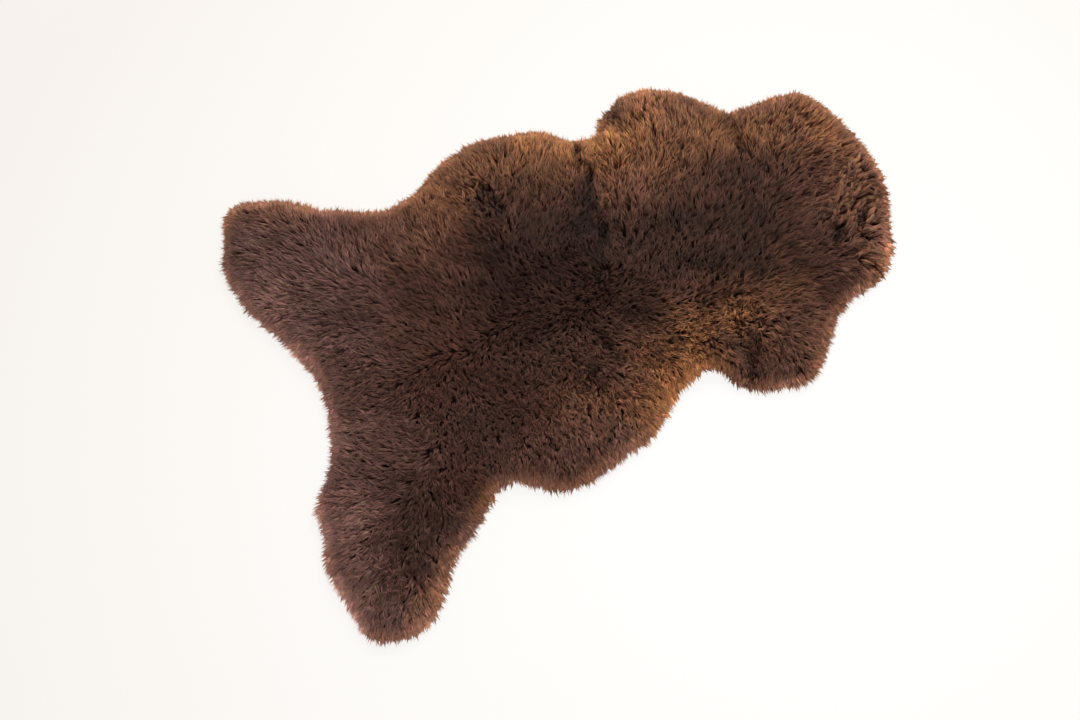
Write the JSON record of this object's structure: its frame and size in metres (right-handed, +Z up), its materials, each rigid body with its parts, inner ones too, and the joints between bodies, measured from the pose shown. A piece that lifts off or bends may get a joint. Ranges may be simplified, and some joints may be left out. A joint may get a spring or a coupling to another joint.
{
  "type": "sheepskin",
  "caption": "Whole sheepskin laid flat with its dark brown wool side up, showing the outline of the neck, legs and rump.",
  "frame": {"origin": "on the flat flesh side, under the middle of the skin's bounding box", "axes": "+X along the back from the rump to the neck, +Y to the animal's left, +Z up through the wool"},
  "size_m": [1.0646, 0.745, 0.0521],
  "materials": {
    "hide": "matt, napped flesh side of a tanned skin",
    "fleece": "dense dark brown wool with paler, sun-bleached tips"
  },
  "bodies": {
    "root": {"hide": "hide", "fleece": "fleece"}
  },
  "joints": []
}
